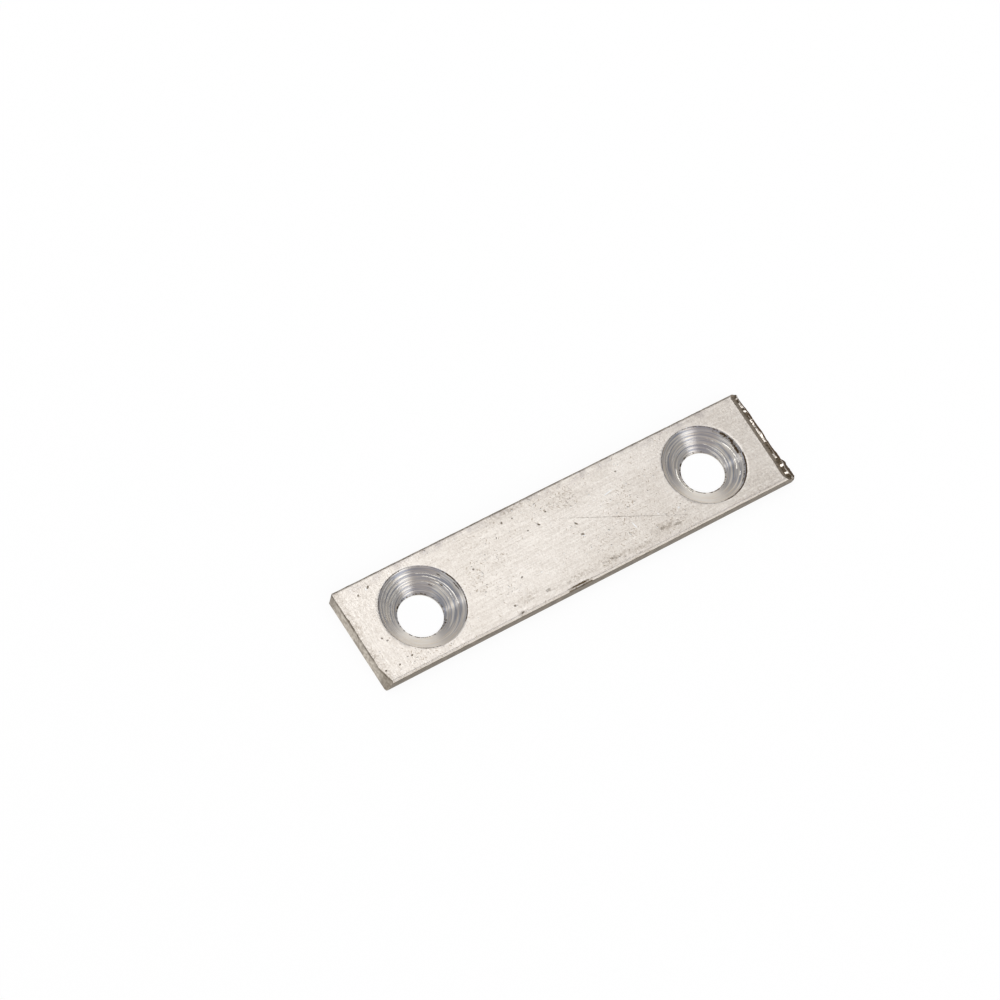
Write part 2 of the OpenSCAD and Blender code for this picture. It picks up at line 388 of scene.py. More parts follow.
@dataclass(frozen=True)
class ScrewHole(Bar):
    """A drilled hole with the cone of a countersinking tool that leans."""

    number: int  # which hole it is, 0 for the left one
    x: float  # place of the drilled hole along the bar
    lean: float  # lean of the tool, in degrees
    turn: float  # direction in which the cone spreads, in degrees from +X
    rings: tuple[tuple[float, float], ...]  # distance down the cone and depth of each groove the tool left
    seed: int  # seed for the raggedness of its edges
    y: float = -0.4  # place of the drilled hole across the bar
    hole_r: float = 4.2
    sink_r: float = 8.1  # mean radius of the cone at the top face
    half_angle: float = 55.0  # half the cone's included angle, in degrees
    ring_w: float = 0.11  # half width of a groove
    rim_break: float = 0.06  # width of the broken edge round the rim
    calm: float = -125.0  # direction in degrees on whose side the tool left hardly a ring
    cone_rows: int = 84  # rows of quads down the cone
    wall_rows: int = 4  # rows of quads down the drilled wall

    def radius(self, azimuth: Array, z: Array) -> Array:
        """Distance from the drill's axis to the cone.

        A point p from the cone's tip lies on the cone where its dot product with the axis equals its length
        times the cosine of the half angle. Along a level ray this is a quadratic in the distance.

        Args:
            azimuth: directions round the drill's axis, in radians.
            z: heights above the underside.

        Returns:
            The distance in millimetres.
        """
        half, lean, turn = (math.radians(angle) for angle in (self.half_angle, self.lean, self.turn))
        shallow, steep = math.tan(half + lean), math.tan(half - lean)
        wide, drift = (shallow + steep) / 2, (shallow - steep) / 2
        axis = np.array([math.sin(lean) * math.cos(turn), math.sin(lean) * math.sin(turn), math.cos(lean)])
        start = np.array([math.cos(turn), math.sin(turn)]) * (self.hole_r / wide) * drift
        height = z - (self.thickness - self.sink_r / wide)
        cos2 = math.cos(half) ** 2
        ray = np.stack([np.cos(azimuth), np.sin(azimuth)], axis=-1)
        along = ray @ axis[:2]
        fixed = start @ axis[:2] + height * axis[2]
        a = along**2 - cos2
        b = 2.0 * (along * fixed - cos2 * (ray @ start))
        c = fixed**2 - cos2 * (start @ start + height**2)
        return (-b - np.sqrt(np.maximum(b * b - 4.0 * a * c, 0.0))) / (2.0 * a)

    def rim(self, azimuth: Array) -> Array:
        """Distance from the drill's axis to the cone at the top face."""
        return self.radius(azimuth, np.full_like(azimuth, self.thickness))

    def land(self, azimuth: Array) -> Array:
        """Height at which the cone meets the drilled wall, found by halving the range of heights 40 times.

        Args:
            azimuth: directions round the drill's axis, in radians.

        Returns:
            The heights above the underside.
        """
        low, high = np.full_like(azimuth, -1.5), np.full_like(azimuth, self.thickness)
        for _ in range(40):
            middle = (low + high) / 2
            inside = self.radius(azimuth, middle) < self.hole_r
            low, high = np.where(inside, middle, low), np.where(inside, high, middle)
        return np.maximum(low, 0.05)

    def _ring_height(self, azimuth: Array, down: Array) -> Array:
        """Height of the turned surface over the true cone.

        Each ring is a groove with the profile of a bell, exp(-(d/width)^2), whose middle wavers a little round
        the cone and whose depth comes and goes with the azimuth. The grooves of the bright arcs are added to them.

        Args:
            azimuth: directions round the drill's axis, in radians.
            down: distances down the cone from the rim.

        Returns:
            The height in millimetres, below 0 in the grooves.
        """
        height = np.zeros(np.broadcast(azimuth, down).shape)
        rng = np.random.default_rng(self.seed)
        rough = 1.0 - 0.85 * smoothstep(np.cos(azimuth - math.radians(self.calm)), 0.2, 0.8)
        for place, depth in self.rings:
            waver = 0.03 * np.sin(azimuth * 2 + rng.uniform(0, 6.3)) + 0.02 * np.sin(azimuth * 7 + rng.uniform(0, 6.3))
            fade = 0.75 + 0.25 * np.sin(azimuth + rng.uniform(0, 6.3))
            height -= depth * rough * fade * bell(down - place - waver, 0.0, self.ring_w)
        for arc in BRIGHT_ARCS:
            if arc.hole == self.number:
                height += arc.lift(azimuth, down)
        return height

    def cone(self, perimeter: Array) -> Array:
        """Grid of the countersink, from a broken rim at the top face down to the drilled wall.

        At share t of the way the height is rim + t (land - rim) and the distance from the axis is the cone's
        at that height. The ring height is added along the cone's normal, faded out at both ends.

        Args:
            perimeter: closed line whose points give the columns' directions.

        Returns:
            Rows x columns x 3 places.
        """
        azimuth = np.arctan2(perimeter[:, 1] - self.y, perimeter[:, 0] - self.x)
        top = self.thickness - self.rim_break * 0.7
        land = np.maximum(self.land(azimuth) + 0.05 * Ragged(self.seed + 5, 0.12, 3.2)(azimuth), 0.05)
        t = np.linspace(0.0, 1.0, self.cone_rows)[:, None]
        z = top + t * (land[None, :] - top)
        r = self.radius(np.broadcast_to(azimuth, z.shape), z)
        half = math.radians(self.half_angle)
        rim = self.rim(azimuth)
        fade = smoothstep(t, 0.0, 0.06) * (1.0 - smoothstep(t, 0.93, 1.0))
        height = self._ring_height(azimuth[None, :], (rim[None, :] - r) / math.sin(half)) * fade
        r = r - height * math.cos(half)
        z = z + height * math.sin(half)
        r[-1] = self.hole_r
        broken = rim + self.rim_break * (0.75 + 0.6 * Ragged(self.seed + 1, 0.06, 3.2)(azimuth))
        r = np.concatenate([broken[None, :], r])
        z = np.concatenate([np.full((1, len(azimuth)), self.thickness), z])
        return np.stack([self.x + r * np.cos(azimuth), self.y + r * np.sin(azimuth), z], axis=-1)


def between(inner: Array, outer: Array, rows: int) -> Array:
    """Grid between two lines: (1 - t) of the inner point plus t of the outer one, t even from 0 to 1."""
    t = np.linspace(0.0, 1.0, rows + 1)[:, None, None]
    return inner * (1.0 - t) + outer * t


@dataclass(frozen=True)
class Bruise:
    """A dent in the metal: a bell-shaped hollow, longer one way than the other."""

    x: float
    y: float
    long: float  # half length along its own direction
    wide: float  # half width across it
    angle: float  # its direction in degrees from +X
    depth: float

    def push(self, points: Array) -> Array:
        """Depth at each point: the depth times exp(-(u/long)^2 - (v/wide)^2) in the dent's own axes.

        Args:
            points: points x 3 places.

        Returns:
            The depth at each point.
        """
        turn = math.radians(self.angle)
        dx, dy = points[:, 0] - self.x, points[:, 1] - self.y
        u = dx * math.cos(turn) + dy * math.sin(turn)
        v = -dx * math.sin(turn) + dy * math.cos(turn)
        return self.depth * np.exp(-((u / self.long) ** 2) - (v / self.wide) ** 2)


@dataclass(frozen=True)
class PlateMesh(Bar):
    """The whole plate as one closed mesh."""

    left: SawnEnd
    right: BrokenEnd
    holes: tuple[ScrewHole, ScrewHole]
    bruises: tuple[Bruise, ...]
    # Starts of the runs along the middle, each with its number of quads, and the last run's end
    spans: tuple[tuple[float, int], ...] = ((-21.0, 4), (-17.6, 11), (-15.2, 9), (-8.0, 26), (-0.8, 25), (19.2, 0))
    # Heights of the rows down a side, between its rounded edges: close together at the foot of the slope
    levels: tuple[float, ...] = (2.2, 1.85, 1.6, 1.5, 1.46, 1.42, 1.38, 1.33, 1.22, 1.1, 0.97, 0.84, 0.71, 0.6)
    across: int = 80  # number of quads across the bar
    top_rows: int = 12  # rows of quads from a countersink's rim out to the edge of its block
    bottom_rows: int = 3  # the same on the underside
    nick_x: float = -4.0  # middle of the nick in the front top edge
    nick_l: float = 5.4  # its length
    nick_r: float = 2.2  # radius of the cylinder that cuts it
    nick_depth: float = 0.2  # its depth, square to the rounded corner

    def section(self) -> tuple[Array, Array]:
        """Half-widths and heights down the long side: a quarter circle, an upright and a quarter circle.

        Returns:
            The half-widths and the heights, from the top face's edge to the underside's.
        """
        r = self.edge_r
        flat_w, top_z = self.half_w - r, self.thickness - r
        a = np.linspace(math.pi / 2, 0.0, 7)
        b = np.linspace(0.0, math.pi / 2, 5)
        w = np.concatenate([flat_w + r * np.cos(a), np.full(len(self.levels), self.half_w), flat_w + r * np.cos(b)])
        return w, np.concatenate([top_z + r * np.sin(a), self.levels, r - r * np.sin(b)])

    def along(self) -> Array:
        """Places along the middle of the bar: close together at the dent and the nick, wider elsewhere.

        Returns:
            The places, from one hole's block to the other's.
        """
        runs = zip(self.spans[:-1], self.spans[1:])
        parts = [np.linspace(start, stop, count, endpoint=False) for (start, count), (stop, _) in runs]
        return np.concatenate([*parts, [self.spans[-1][0]]])

    def perimeter(self, end: SawnEnd | BrokenEnd, x_in: float, z: float) -> Array:
        """Closed line round a hole's block at one height.

        It runs up the side that meets the middle, along the back edge to the end, down the end and back
        along the front edge, with the same number of points on each side.

        Args:
            end: the bar's end beyond the block.
            x_in: X of the side that meets the middle.
            z: its height.

        Returns:
            Points x 3 places, the first repeated at the end.
        """
        s = np.linspace(-1.0, 1.0, self.across + 1) * (self.half_w - self.edge_r)
        k = np.linspace(0.0, 1.0, self.across + 1)
        level = np.full_like(s, z)
        end_x = end.x_at(s, level)
        inner = np.stack([np.full_like(s, x_in), s, level], axis=-1)
        back = np.stack([x_in + k * (end_x[-1] - x_in), np.full_like(s, s[-1]), level], axis=-1)
        outer = np.stack([end_x, s, level], axis=-1)[::-1]
        front = np.stack([x_in + k * (end_x[0] - x_in), np.full_like(s, s[0]), level], axis=-1)[::-1]
        return np.concatenate([inner[:-1], back[:-1], outer[:-1], front])

    def hole_block(self, hole: ScrewHole, end: SawnEnd | BrokenEnd, x_in: float) -> list[Patch]:
        """Make the top face, countersink, drilled wall and underside round one hole.

        Args:
            hole: the hole.
            end: the bar's end beyond the block.
            x_in: X of the side that meets the middle.

        Returns:
            The four grids.
        """
        right = x_in > 0
        top_line, low_line = self.perimeter(end, x_in, self.thickness), self.perimeter(end, x_in, 0.0)
        cone = hole.cone(top_line)
        foot = cone[-1] * np.array([1.0, 1.0, 0.0])
        return [
            Patch(between(cone[0], top_line, self.top_rows), Finish.DRAWN, flipped=right),
            Patch(cone, Finish.TURNED, flipped=not right),
            Patch(between(cone[-1], foot, hole.wall_rows), Finish.DRILLED, flipped=not right),
            Patch(between(foot, low_line, self.bottom_rows), Finish.DRAWN, flipped=not right),
        ]

    def middle_faces(self) -> list[Patch]:
        """Make the top face and the underside between the two blocks: level grids, even across the bar.

        Returns:
            The two grids.
        """
        side = np.linspace(-1.0, 1.0, self.across + 1) * (self.half_w - self.edge_r)
        x, y = np.meshgrid(self.along(), side, indexing="ij")
        return [
            Patch(np.stack([x, y, np.full_like(x, self.thickness)], axis=-1), Finish.DRAWN),
            Patch(np.stack([x, y, np.zeros_like(x)], axis=-1), Finish.DRAWN, flipped=True),
        ]

    def long_side(self, side: int) -> Patch:
        """Carry the section's profile along the bar as one long side, stretched to meet each end's surface.

        Args:
            side: 1 for the back, -1 for the front.

        Returns:
            The side's grid.
        """
        w, z = self.section()
        y = side * w
        k = np.linspace(0.0, 1.0, self.across + 1)[None, :]
        left_x, right_x = self.left.x_at(y, z)[:, None], self.right.x_at(y, z)[:, None]
        along = self.along()
        to_left = (along[0] + k * (left_x - along[0]))[:, ::-1]
        to_right = (along[-1] + k * (right_x - along[-1]))[:, 1:]
        x = np.concatenate([to_left, np.broadcast_to(along[1:], (len(z), len(along) - 1)), to_right], axis=1)
        ones = np.ones_like(x)
        return Patch(np.stack([x, y[:, None] * ones, z[:, None] * ones], axis=-1), Finish.DRAWN, flipped=side > 0)

    def end_cap(self, end: SawnEnd | BrokenEnd, right: bool) -> Patch:
        """Make one end: rows down the section's heights, columns across the bar, on the end's surface.

        Args:
            end: the end.
            right: whether it is the right end, whose rows follow the foot of the slope.

        Returns:
            The end's grid.
        """
        w, z = self.section()
        y = w[:, None] * np.linspace(-1.0, 1.0, self.across + 1)[None, :]
        level = np.broadcast_to(z[:, None], y.shape)
        if right:
            level = end.foot_level(y, level)
        points = np.stack([end.x_at(y, level), y, level], axis=-1)
        return Patch(points, Finish.SHEARED if right else Finish.SAWN, flipped=not right)

    def _nick(self, points: Array) -> None:
        """Push the front top edge, in place, out of a long cylinder that cuts its rounded corner square across.

        A point within the cylinder moves straight away from its axis to its surface, and the cut runs out
        over a fifth of a millimetre at each end.

        Args:
            points: points x 3 places, which are moved.
        """
        out = (self.edge_r + self.nick_r - self.nick_depth) / math.sqrt(2.0)
        dy = points[:, 1] - (-self.half_w + self.edge_r - out)
        dz = points[:, 2] - (self.thickness - self.edge_r + out)
        far = np.hypot(dy, dz)
        along = np.abs(points[:, 0] - self.nick_x)
        ragged = 1.0 + 0.35 * Ragged(83, 0.5, 50.0)(points[:, 0])
        share = (1.0 - smoothstep(along, self.nick_l / 2 - 0.4, self.nick_l / 2)) * ragged
        gap = np.maximum(self.nick_r - far, 0.0) * share
        points[:, 1] += dy / far * gap
        points[:, 2] += dz / far * gap

    def _bruise(self, points: Array) -> None:
        """Push the upper surfaces down, in place, by the bruises.

        Args:
            points: points x 3 places, which are moved.
        """
        upper = smoothstep(points[:, 2], self.thickness - self.edge_r * 1.2, self.thickness - 0.1)
        points[:, 2] -= sum(bruise.push(points) for bruise in self.bruises) * upper

    def _edge_wear(self, points: Array) -> None:
        """Make the long edges' corners waver, in place, by a few hundredths of a millimetre, inwards only.

        Args:
            points: points x 3 places, which are moved.
        """
        corner = smoothstep(np.abs(points[:, 1]), self.half_w - 0.35, self.half_w - 0.1)
        corner = corner * smoothstep(points[:, 2], self.thickness - 0.7, self.thickness - 0.3)
        side = np.sign(points[:, 1])
        depth = 0.02 * (1.0 + Ragged(89, 0.7, 50.0)(points[:, 0] + 7.0 * side))
        points[:, 1] -= side * corner * depth
        points[:, 2] -= corner * depth

    def build(self) -> tuple[Array, Array, Array]:
        """Join all grids into one closed mesh.

        Returns:
            Points in millimetres, quads and each quad's finish.
        """
        patches = [
            *self.hole_block(self.holes[0], self.left, self.spans[0][0]),
            *self.hole_block(self.holes[1], self.right, self.spans[-1][0]),
            *self.middle_faces(),
            self.long_side(-1),
            self.long_side(1),
            self.end_cap(self.left, right=False),
            self.end_cap(self.right, right=True),
        ]
        firsts = np.cumsum([0] + [patch.points[..., 0].size for patch in patches])
        every = np.concatenate([patch.points.reshape(-1, 3) for patch in patches])
        faces = [patch.faces(first) for patch, first in zip(patches, firsts)]
        finish = np.repeat([int(patch.finish) for patch in patches], [len(part) for part in faces])
        keys = np.round(every / WELD_MM + WELD_SHIFT).astype(np.int64)
        _, kept, back = np.unique(keys, axis=0, return_index=True, return_inverse=True)
        points, quads = every[kept], back.reshape(-1)[np.concatenate(faces)]
        centre = points[quads].mean(axis=1)
        torn = (finish == Finish.SHEARED) & (centre[:, 2] < self.right.slope_foot(centre[:, 1]) - 0.02)
        self._nick(points)
        self._bruise(points)
        self._edge_wear(points)
        return points, quads, np.where(torn, int(Finish.TORN), finish)


def make_object(name: str, points: Array, quads: Array, finish: Array) -> bpy.types.Object:
    """Write a mesh of quads, in metres, and put its object in the scene at the origin.

    Args:
        name: the object's name.
        points: points x 3 places in millimetres.
        quads: quads x 4 point numbers, turning outwards.
        finish: each quad's material slot; all but the torn ones are shaded smooth.

    Returns:
        The object.
    """
    mesh = bpy.data.meshes.new(name)
    mesh.vertices.add(len(points))
    mesh.vertices.foreach_set("co", (points * MM).astype(np.float32).reshape(-1))
    mesh.loops.add(quads.size)
    mesh.loops.foreach_set("vertex_index", quads.astype(np.int32).reshape(-1))
    mesh.polygons.add(len(quads))
    mesh.polygons.foreach_set("loop_start", np.arange(0, quads.size, 4, dtype=np.int32))
    mesh.update(calc_edges=True)
    mesh.polygons.foreach_set("material_index", finish.astype(np.int32))
    mesh.polygons.foreach_set("use_smooth", finish != Finish.TORN)
    mesh.set_sharp_from_angle(angle=math.radians(SHARP_DEG))
    mesh.validate()
    obj = bpy.data.objects.new(name, mesh)
    bpy.context.scene.collection.objects.link(obj)
    return obj


def set_attribute(obj: bpy.types.Object, name: str, values: Array) -> None:
    """Store a value for each point of the mesh.

    Args:
        obj: the object.
        name: the attribute's name.
        values: points x 3 for a vector, or one number a point.
    """
    kind, key = ("FLOAT_VECTOR", "vector") if values.ndim == 2 else ("FLOAT", "value")
    attribute = obj.data.attributes.new(name, kind, "POINT")
    attribute.data.foreach_set(key, values.astype(np.float32).reshape(-1))


def add_node(tree: bpy.types.NodeTree, kind: str, *values: Any, out: str | None = None, **settings: Any) -> Any:
    """Add a node with its settings, give its inputs values or links, and hand back an output.

    Args:
        tree: the tree it goes into.
        kind: the node's type, without the leading ShaderNode.
        *values: a number, a vector, a hex colour or another node's output for each input that the node shows, in
            their order, or a dictionary of these by the inputs' names.
        out: name of the output, if it isn't the first one that the node shows.
        **settings: the node's own properties.

    Returns:
        The output, or None where the node has none.
    """
    made = tree.nodes.new("ShaderNode" + kind)
    for name, value in settings.items():
        setattr(made, name, value)
    if values and isinstance(values[0], dict):
        given = [(made.inputs[name], value) for name, value in values[0].items()]
    else:
        given = list(zip([socket for socket in made.inputs if socket.enabled], values))
    for socket, value in given:
        if isinstance(value, bpy.types.NodeSocket):
            tree.links.new(value, socket)
        else:
            socket.default_value = linear(value) if isinstance(value, str) else value
    return made.outputs[out] if out else next((socket for socket in made.outputs if socket.enabled), None)


def new_material(name: str) -> tuple[bpy.types.Material, Callable[..., Any]]:
    """Make a material with an empty node tree.

    Args:
        name: the material's name.

    Returns:
        The material, and add_node for its tree.
    """
    material = bpy.data.materials.new(name)
    material.use_nodes = True
    material.node_tree.nodes.clear()
    return material, partial(add_node, material.node_tree)


@dataclass(frozen=True)
class Mark:
    """A small mark on the top face: a pit, a scratch, a smudge, a bright spot, a painted shadow line or a painted
    glint.
    """

    x: float
    y: float
    long: float  # half its length
    wide: float  # half its width
    angle: float = 0.0  # its direction in degrees from +X
    strength: float = 0.8  # its share at its middle, from 0 to 1


DARK_MARKS = (
    Mark(-4.21, 4.01, 0.34, 0.2, -60.0, 0.9), Mark(1.97, 0.97, 0.4, 0.19, -60.0, 0.9),
    Mark(-10.11, 7.46, 0.26, 0.2, 20.0), Mark(-6.68, 3.9, 0.25, 0.15), Mark(-12.63, 5.3, 0.25, 0.16, 40.0),
    Mark(-19.66, 1.99, 0.26, 0.2), Mark(-12.67, -3.46, 0.3, 0.17, 30.0), Mark(-16.82, -7.69, 0.3, 0.2, -30.0),
    Mark(-1.77, 5.69, 0.22, 0.18), Mark(-7.88, 7.38, 0.22, 0.18), Mark(-40.67, 7.29, 0.26, 0.18, 50.0),
    Mark(-38.28, -7.07, 0.3, 0.18, 20.0), Mark(-41.13, -7.63, 0.22, 0.18), Mark(-41.32, -1.8, 0.24, 0.16, -40.0),
    Mark(-40.63, -2.63, 0.24, 0.16), Mark(-43.88, -7.5, 0.24, 0.18), Mark(14.33, 6.55, 0.24, 0.16),
    Mark(-38.32, 7.88, 0.4, 0.2, 40.0, 0.9), Mark(1.85, -1.4, 0.42, 0.24, -20.0, 0.75),
    Mark(-9.84, -7.88, 0.6, 0.35, 10.0, 0.5), Mark(4.4, -8.2, 0.8, 0.22, -18.0, 0.5),
    Mark(15.65, -7.3, 0.8, 0.35, 10.0, 0.4), Mark(18.87, -7.87, 0.8, 0.35, -10.0, 0.4),
    # Mark(-4.1, -9.55) along the front edge is the nick's painted shadow line.
    Mark(10.2, -1.75, 13.6, 0.07, -26.0, 0.35), Mark(-4.1, -9.55, 2.7, 0.2, 0.0, 1.0),
    Mark(-16.3, -9.45, 0.4, 0.2, 20.0, 0.7),
)

BRIGHT_MARKS = (
    Mark(-38.8, 7.7, 0.3, 0.2, 40.0), Mark(1.9, -1.78, 0.4, 0.13, -20.0), Mark(10.66, 3.49, 1.3, 0.12, 10.0, 0.9),
    Mark(11.35, -4.3, 0.95, 0.12, -81.0, 1.0), Mark(16.55, -4.48, 0.4, 0.09, -79.0),
    # Mark(-4.1, -9.84) below it is the nick's painted glint.
    Mark(20.67, -5.2, 0.28, 0.22), Mark(7.78, 9.57, 0.5, 0.16), Mark(-4.1, -9.84, 2.5, 0.1, 0.0, 0.9),
)


@dataclass(frozen=True)
class DrawnAluminium:
    """Drawn aluminium bar, mill finish, worn and handled.

    The rolls and the die leave fine lines along the bar. Handling adds short cross scratches near the sawn end,
    dark pits, soft smudges and bare bright scratches; a painted shadow line and a painted glint mark the nick.
    A mottled grey band runs along the back edge, and painted shade darkens the top face towards the broken end.
    The wide faces are rubbed bright. The narrow sides are painted a dull, mottled grey-brown: painted shade.
    """

    face: str = "#FEF8F0"  # the rubbed wide faces
    face_dull: str = "#D4C9BC"  # the hollows of their die lines
    back_grey: str = "#A9A1A1"  # a mottled grey band along the back edge
    smear_and_shade: str = "#A29483"  # old grime, and painted shade towards the broken end
    dash: str = "#9C8567"  # short handling marks
    bare_and_highlight: str = "#FFFFFF"  # fresh scratches and burrs, and the painted glint below the nick
    pit_and_shadow: str = "#66563F"  # pits, pressed-in grit, and the painted shadow line along the nick
    side: str = "#847766"  # the painted shade on the narrow sides
    side_shade_dark: str = "#554B3B"  # its dark blots

    @staticmethod
    def shares(node: Callable[..., Any], mm: Any, wobble: Any, marks: tuple[Mark, ...]) -> Any:
        """Join marks into one share: for each, 1 - distance in its own stretched axes, with a ragged outline.

        Args:
            node: adds a node to the material's tree.
            mm: the place in millimetres.
            wobble: noise that makes the outlines ragged.
            marks: the marks.

        Returns:
            The output with the greatest share of all the marks.
        """
        total = None
        for mark in marks:
            turn = (0.0, 0.0, math.radians(mark.angle))
            size = (mark.long, mark.wide, 1.0)
            local = node("Mapping", mm, (mark.x, mark.y, 3.0), turn, size, vector_type="TEXTURE")
            far = node("VectorMath", local, operation="LENGTH")
            ragged = node("Math", wobble, 1.4, far, operation="MULTIPLY_ADD")
            share = node("MapRange", ragged, 1.2, 1.75, mark.strength, 0.0)
            total = share if total is None else node("Math", total, share, operation="MAXIMUM")
        return total

    def material(self) -> bpy.types.Material:
        """Build the material.

        Returns:
            The material.
        """
        material, node = new_material("drawn_aluminium_worn_and_shaded")
        mm = node("VectorMath", node("TexCoord", out="Object"), MM_PER_M, operation="SCALE")
        x, y, z = node("SeparateXYZ", mm).node.outputs
        # Die lines run some 3 to 20 mm along the bar and repeat about every 0.25 mm across it.
        lines = node("TexNoise", node("Mapping", {"Vector": mm, "Scale": (0.22, 3.6, 3.6)}), 1.0, 3.0, 0.65)
        # Handling scratches across the sawn end are about 1.5 mm long and 0.2 mm apart.
        over = node("Mapping", {"Vector": mm, "Scale": (5.5, 0.6, 5.5), "Rotation": (0, 0, 0.06)})
        at_end = node("MapRange", x, -20.0, -32.0, 0.0, 0.8)
        both = node("Mix", at_end, lines, node("TexNoise", over, 1.0, 2.0, 0.6), data_type="FLOAT")
        # The mill finish's own grain shows at about a quarter of a millimetre.
        grain = node("TexNoise", mm, 3.2, 3.0, 0.7)
        cloud = node("TexNoise", mm, 0.09, 3.0)
        texture = node("Math", node("MapRange", both, 0.0, 1.0, 0.13, 0.87), grain, operation="ADD")
        shade = node("MapRange", texture, 0.78, 1.22, 0.55, 0.0)
        cloudy = node("MapRange", cloud, 0.4, 0.75, 0.0, 0.18)
        dull = node("Math", shade, cloudy, operation="ADD", use_clamp=True)
        top = node("Mix", dull, self.face, self.face_dull, data_type="RGBA")
        # Short handling marks, some 1.2 mm long, lie about 50 degrees either way off the bar's length.
        patches = node("TexNoise", mm, 0.13, 1.0)
        dashes = []
        for turn, start in ((0.9, 3.0), (-0.85, 11.0)):
            turned = node("Mapping", mm, (start, 0, 0), (0, 0, turn), (1.0, 0.2, 0.2), vector_type="TEXTURE")
            noise = node("Math", patches, 0.25, node("TexNoise", turned, 1.0, 1.0), operation="MULTIPLY_ADD")
            dashes.append(node("MapRange", noise, 0.825, 0.89, 0.0, 0.75))
        dash = node("Math", *dashes, operation="MAXIMUM")
        # Corrosion pits and pressed-in grit, 0.2 to 0.5 mm across, gather in patches of about 10 mm.
        specks = node("TexNoise", mm, 2.2, 3.0, 0.65)
        need = node("MapRange", patches, 0.4, 0.68, 0.73, 0.64)
        pits = node("MapRange", node("Math", specks, need, operation="SUBTRACT"), 0.0, 0.06, 0.0, 0.7)
        # The dark marks join the pits; one of them is the nick's painted shadow line.
        dirt_and_shadow = node("Math", pits, self.shares(node, mm, grain, DARK_MARKS), operation="MAXIMUM")
        # The grime attribute holds old grime, and on the top face painted shade towards the broken end; it lays on the
        # smear colour.
        grime_and_shade = node("Attribute", attribute_name="grime_and_shade", out="Fac")
        smear_and_shade = node("Math", grime_and_shade, node("MapRange", specks, 0.38, 0.62), operation="MULTIPLY")
        # A mottled grey band along the back edge.
        blotch = node("MapRange", node("TexNoise", mm, 0.55, 3.0), 0.42, 0.68)
        back = node("Math", node("MapRange", y, 7.9, 9.2, 0.0, 0.5), blotch, operation="MULTIPLY")
        # Bare metal: scratches, small specks, a burr some 0.15 mm wide just outside the countersinks' rims, and the
        # nick's painted glint among the bright marks.
        glints = node("Mapping", {"Vector": mm, "Location": (0.1, 0.12, 0.0)})
        sparks = node("MapRange", node("TexNoise", glints, 2.2, 3.0, 0.65), 0.66, 0.72, 0.0, 0.8)
        down = node("SeparateXYZ", node("Attribute", attribute_name="turned", out="Vector")).node.outputs[2]
        right = node("Math", x, 0.0, operation="GREATER_THAN")
        down = node("Math", right, -NEXT_CONE, down, operation="MULTIPLY_ADD")
        beyond = node("Math", node("Math", down, 0.2, operation="ADD"), operation="ABSOLUTE")
        beyond = node("Math", grain, 0.35, beyond, operation="MULTIPLY_ADD")
        bare_and_highlight = node("Math", node("MapRange", beyond, 0.16, 0.26, 0.3, 0.0), sparks, operation="MAXIMUM")
        bare_and_highlight = node("Math", bare_and_highlight, self.shares(node, mm, grain, BRIGHT_MARKS), operation="MAXIMUM")
        layers = ((dash, self.dash), (back, self.back_grey), (smear_and_shade, self.smear_and_shade), (dirt_and_shadow, self.pit_and_shadow), (bare_and_highlight, self.bare_and_highlight))
        for share, colour in layers:
            top = node("Mix", share, top, colour, data_type="RGBA")
        # The narrow sides: painted shade, dull and mottled, in blots about 1.5 mm long and 0.6 mm tall.
        blots = node("TexNoise", node("Mapping", {"Vector": mm, "Scale": (0.65, 3.0, 1.7)}), 1.0, 3.0)
        side = node("Mix", node("MapRange", blots, 0.3, 0.7), self.side_shade_dark, self.side, data_type="RGBA")
        # The rubbed metal reaches over the front edge to a height of 2.6 mm, over the back edge only to 2.95 mm; below
        # it the sides take the painted shade.
        tall = node("Math", node("Math", y, operation="SIGN"), -0.17, z, operation="MULTIPLY_ADD")
        tall = node("Math", grain, -0.35, tall, operation="MULTIPLY_ADD")
        outer = node("MapRange", node("Math", y, operation="ABSOLUTE"), 9.4, 9.55)
        edge = node("Math", node("MapRange", tall, 2.69, 2.55), outer, operation="MULTIPLY")
        depth = node("Math", texture, dirt_and_shadow, operation="SUBTRACT")
        inputs = {
            "Base Color": node("Mix", edge, top, side, data_type="RGBA"),
            "Metallic": 1.0,
            "Roughness": node("MapRange", texture, 0.7, 1.3, 0.42, 0.32),
            "Normal": node("Bump", {"Height": depth, "Strength": 0.6, "Distance": 0.05 * MM}),
        }
        node("OutputMaterial", node("BsdfPrincipled", inputs))
        return material


@dataclass(frozen=True)
class CutAluminium:
    """Aluminium cut by a saw or sheared, and left as cut: dull, with fine marks of the teeth."""

    name: str
    light: str  # colour of its bright ridges
    dark: str  # colour of its hollows
    rough: float  # roughness from 0 to 1
    pitch: tuple[float, float, float]  # marks per millimetre along X, Y and Z
    grime_and_shade: str = "#584C3E"  # old dirt on the cut, and painted shade at the sawn end's corners

    def material(self) -> bpy.types.Material:
        """Build the material.

        Returns:
            The material.
        """
        material, node = new_material(self.name)
        mm = node("VectorMath", node("TexCoord", out="Object"), MM_PER_M, operation="SCALE")
        marks = node("TexNoise", node("Mapping", {"Vector": mm, "Scale": self.pitch}), 1.0, 3.0)
        cut = node("Mix", node("MapRange", marks, 0.32, 0.66), self.dark, self.light, data_type="RGBA")
        grime_and_shade = node("Attribute", attribute_name="grime_and_shade", out="Fac")
        inputs = {
            "Base Color": node("Mix", grime_and_shade, cut, self.grime_and_shade, data_type="RGBA"),
            "Metallic": 1.0,
            "Roughness": self.rough,
            "Normal": node("Bump", {"Height": marks, "Strength": 0.5, "Distance": 0.03 * MM}),
        }
        node("OutputMaterial", node("BsdfPrincipled", inputs))
        return material


